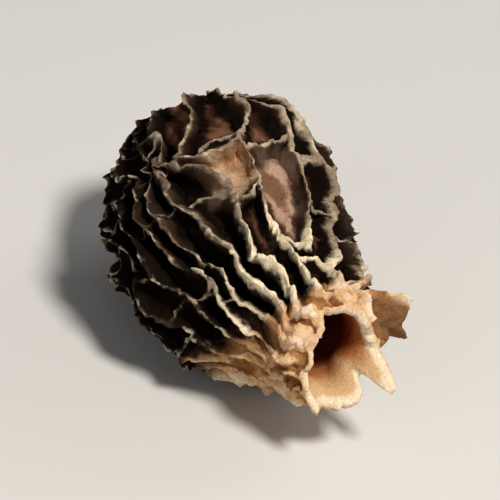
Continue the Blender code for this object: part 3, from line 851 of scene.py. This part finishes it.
def cap_colour(n, noises, painted_top_light, worn_side_and_hollow_shade):
    """The cap's colour, and how far its crests are worn."""
    mottle, specks, streaks = noises["mottle"], noises["specks"], noises["streaks"]
    rise, crest_at, bare = (n.field(name) for name in ("rise", "crest_at", "bare"))
    pale_end = n.ramp(n.sum(n.field("bright"), n.around(mottle, 3.0)), 12.8, 16.2)

    # pits: near black, browner on the top side, which is painted light, and pink brown to tan on the
    # floors of wide pits
    dark = n.mix(mottle, (0.002, 0.0015, 0.001), (0.009, 0.005, 0.0035))
    brown = n.mix(n.ramp(streaks, 0.2, 0.8), (0.050, 0.018, 0.010), (0.17, 0.078, 0.047))
    off_crest = n.ramp(n.sum(crest_at, n.around(specks, 0.3)), 0.45, 1.0)
    floor = n.mix(n.times(off_crest, painted_top_light), dark, brown)
    pink = n.mix(n.ramp(streaks, 0.15, 0.85), (0.20, 0.105, 0.068), (0.48, 0.31, 0.215))
    tan = n.mix(n.ramp(streaks, 0.15, 0.85), (0.38, 0.185, 0.085), (0.58, 0.395, 0.25))
    paler = n.sum(bare, n.times(n.around(mottle, 0.7), bare))
    pinker = n.times(n.ramp(paler, 0.08, 0.62), n.ramp(off_crest, 0, 1, 0.2, 1.0))
    floor = n.mix(pinker, floor, pink)
    floor = n.mix(n.ramp(paler, 0.55, 1.0), floor, tan)
    high = n.ramp(n.sum(rise, n.around(specks, 0.3)), 0.3, 1.0)
    flank = n.mix(high, floor, n.mix(painted_top_light, (0.008, 0.0055, 0.004), (0.085, 0.050, 0.032)))

    # crests: worn pale over an uneven width, a little wider and paler on the top side with painted
    # light, dull here and there, and yellower near the stem
    wider = n.sum(n.times(pale_end, 0.07), n.times(painted_top_light, 0.03))
    wider = n.sum(wider, n.ramp(worn_side_and_hollow_shade, 0.86, 0.99, 0.0, 0.07))
    edge = n.sum(n.ramp(mottle, 0.3, 0.7, 0.01, 0.09), wider, n.around(specks, 0.10))
    worn = n.ramp(n.math("SUBTRACT", crest_at, edge), -0.05, 0.07, 1.0, 0.0)
    shown = n.math("MAXIMUM", pale_end, n.times(painted_top_light, 0.45))
    dull = n.ramp(n.noise(0.9, detail=2.0, seed=6.0), 0.42, 0.51)
    dull = n.times(dull, n.ramp(shown, 0, 1, 1.0, 0.06))
    crest = n.mix(painted_top_light, (0.60, 0.50, 0.37), (0.60, 0.48, 0.34))
    crest = n.mix(pale_end, crest, (0.95, 0.80, 0.56))
    crest = n.mix(dull, crest, n.mix(painted_top_light, (0.020, 0.015, 0.011), (0.17, 0.112, 0.075)))
    crest = n.mix(n.ramp(streaks, 0.2, 0.6, 0.35, 0.0), crest, (0.16, 0.10, 0.06))
    return n.mix(worn, flank, crest), worn


def stem_colour(n, noises):
    """Cream on the raised folds and tan, then brown, down between them, which is painted shade in
    the creases; on one side with slanting brown creases.
    """
    mottle, specks = noises["mottle"], noises["specks"]
    crest_at, bare, folds = (n.field(name) for name in ("crest_at", "bare", "folds"))
    creased = n.ramp(n.sum(n.field("creased_side"), n.around(mottle, 0.6)), 0.2, 0.8)
    # painted shade: lighter on the raised folds and near the last ridges, browner down in the
    # creases
    raised = n.sum(n.ramp(crest_at, 0.1, 0.8, 0.44, 0.10), n.times(folds, 0.19))
    painted_fold_light = n.sum(raised, n.around(specks, 0.25), n.ramp(creased, 0, 1, 0.14, 0.0))
    creases = n.mix(n.ramp(mottle, 0.35, 0.65), (0.17, 0.062, 0.020), (0.42, 0.20, 0.075))
    tan = n.mix(n.ramp(specks, 0.3, 0.7), (0.62, 0.35, 0.15), (0.80, 0.53, 0.31))
    stem = n.mix(n.ramp(painted_fold_light, 0.22, 0.42), creases, tan)
    pinkish = n.ramp(noises["patches"], 0.4, 0.6)
    cream = n.mix(pinkish, (0.88, 0.73, 0.52), (0.86, 0.64, 0.47))
    stem = n.mix(n.ramp(painted_fold_light, 0.50, 0.86), stem, cream)
    loop_floor = n.mix(specks, (0.13, 0.055, 0.022), (0.34, 0.17, 0.075))
    return n.mix(n.ramp(bare, 0.15, 0.45), stem, loop_floor)


def hollow_colour_and_shade(n, noises, inside, painted_light_side, worn_side_and_hollow_shade):
    """Tan near the rim, then orange brown, then dark red brown: painted shade that deepens into the
    hollow and starts earlier on two sides, the top side and the worn side."""
    # painted shade: darker deeper into the hollow, and sooner on the top side and on the worn side
    painted_shade_side = n.times(n.ramp(inside, 0.4, 2.4), n.ramp(worn_side_and_hollow_shade, -0.1, 0.6, 0.0, 3.2))
    depth = n.sum(inside, n.around(noises["mottle"], 1.6), n.around(noises["patches"], 1.5))
    depth = n.sum(depth, n.ramp(painted_light_side, -0.5, 0.6, 0.0, 2.4), painted_shade_side)
    hollow = n.mix(n.ramp(depth, 1.0, 3.2), (0.70, 0.46, 0.24), (0.44, 0.15, 0.045))
    return n.mix(n.ramp(depth, 3.2, 6.2), hollow, (0.26, 0.050, 0.022))


def dried_morel():
    n = Nodes("dried_morel")
    noises = {
        "patches": n.noise(3.0, detail=2.0, seed=1.0),
        "mottle": n.noise(0.9, seed=2.0),
        "specks": n.noise(0.3, roughness=0.6, seed=4.0),
    }
    patches, mottle, specks = noises["patches"], noises["mottle"], noises["specks"]
    noises["streaks"] = n.sum(n.ramp(n.field("folds"), -1.6, 1.6), n.around(specks, 0.8))
    grain = n.noise(0.12, detail=2.0, seed=3.0)
    inside = n.field("inside")
    painted_light_side, worn_side_and_hollow_shade = n.field("painted_light_side"), n.field("worn_side_and_hollow_shade")
    # painted light on the top side, broken up by random patches
    painted_top_light = n.ramp(n.sum(painted_light_side, n.around(patches, 0.8)), 0.1, 0.85)
    cap, worn = cap_colour(n, noises, painted_top_light, worn_side_and_hollow_shade)

    # from the cap to the stem, earlier on the worn side
    browning = n.sum(n.field("stemward"), n.around(patches, 2.0), n.around(mottle, 2.0))
    browning = n.sum(browning, n.around(specks, 0.8), n.ramp(worn_side_and_hollow_shade, 0.6, 0.98, 0.0, 0.9))
    outside = n.mix(n.ramp(browning, 22.1, 23.8), cap, stem_colour(n, noises))

    # over the cream rim into the hollow
    rim = n.mix(specks, (0.76, 0.58, 0.37), (0.94, 0.82, 0.62))
    hollow = hollow_colour_and_shade(n, noises, inside, painted_light_side, worn_side_and_hollow_shade)
    colour = n.mix(n.ramp(inside, 0.0, 0.35), outside, rim)
    colour = n.mix(n.ramp(n.sum(inside, n.around(specks, 0.3)), 0.45, 0.9), colour, hollow)
    colour = n.mix(n.ramp(grain, 0.35, 0.7, 0.25, 0.0), colour, (0.010, 0.006, 0.004))
    n.link(colour, n.shader.inputs["Base Color"])

    n.link(n.ramp(n.sum(worn, grain), 0.3, 1.5, 0.90, 0.62), n.shader.inputs["Roughness"])
    n.link(0.0, n.shader.inputs["Specular IOR Level"])
    wrinkled = n.noise(0.42, detail=5.0, roughness=0.66, seed=5.0)
    wrinkles = n.bump(wrinkled, distance=0.12, strength=0.9)
    grained = n.bump(grain, distance=0.035, strength=0.9, normal=wrinkles)
    n.link(grained, n.shader.inputs["Normal"])
    return n.material


def plain(name, colour, roughness):
    material = bpy.data.materials.new(name)
    material.use_nodes = True
    shader = material.node_tree.nodes["Principled BSDF"]
    shader.inputs["Base Color"].default_value = (*colour, 1)
    shader.inputs["Roughness"].default_value = roughness
    return material


# ---- studio ----


def aimed(obj, from_place, at_place):
    obj.location = from_place
    obj.rotation_euler = (from_place - at_place).to_track_quat("Z", "Y").to_euler()
    bpy.context.scene.collection.objects.link(obj)
    return obj


def area_light(name, direction, distance, size, power, colour, target):
    light = bpy.data.lights.new(name, "AREA")
    light.shape = "DISK"
    light.size = size
    light.energy = power
    light.color = colour
    place = target + Vector(direction).normalized() * distance
    return aimed(bpy.data.objects.new(name, light), place, target)


def studio(centre):
    floor_mesh = bpy.data.meshes.new("floor")
    signs = ((-1, -1), (1, -1), (1, 1), (-1, 1))
    corners = [(FLOOR_REACH * x, FLOOR_REACH * y, 0) for x, y in signs]
    floor_mesh.from_pydata(corners, [], [(0, 1, 2, 3)])
    floor = bpy.data.objects.new("floor", floor_mesh)
    floor.data.materials.append(plain("floor", FLOOR_COLOUR, FLOOR_ROUGHNESS))
    bpy.context.scene.collection.objects.link(floor)

    for light in LIGHTS:
        area_light(*light, centre)

    world = bpy.data.worlds.new("studio")
    world.use_nodes = True
    surroundings = world.node_tree.nodes["Background"]
    surroundings.inputs["Color"].default_value = (*SURROUNDINGS_COLOUR, 1)
    surroundings.inputs["Strength"].default_value = SURROUNDINGS_STRENGTH
    bpy.context.scene.world = world

    camera = bpy.data.cameras.new("camera")
    camera.lens = camera.sensor_width * CAMERA_DISTANCE / FRAME_WIDTH
    camera.clip_start = 0.01
    across = math.cos(CAMERA_ELEVATION)
    back = Vector((
        math.sin(CAMERA_AZIMUTH) * across,
        -math.cos(CAMERA_AZIMUTH) * across,
        math.sin(CAMERA_ELEVATION),
    ))
    view = aimed(bpy.data.objects.new("camera", camera), centre + back * CAMERA_DISTANCE, centre)
    view.rotation_euler.rotate(Quaternion(back, CAMERA_ROLL))
    bpy.context.scene.camera = view
    bpy.context.scene.view_settings.view_transform = "Standard"


def main():
    cad_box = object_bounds()
    rings, fields = body_rings()
    flesh = bpy.data.objects.new("morel_flesh", closed_mesh("morel_flesh", rings, fields, cad_box))
    bpy.context.scene.collection.objects.link(flesh)
    thinned_out(flesh, TRIANGLES)
    unwrapped(flesh.data)
    flesh.data.materials.clear()
    flesh.data.materials.append(dried_morel())
    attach(flesh, "root")
    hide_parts("morel")

    centre = (Vector(cad_box[0]) + Vector(cad_box[1])) / 2
    studio(centre)


main()
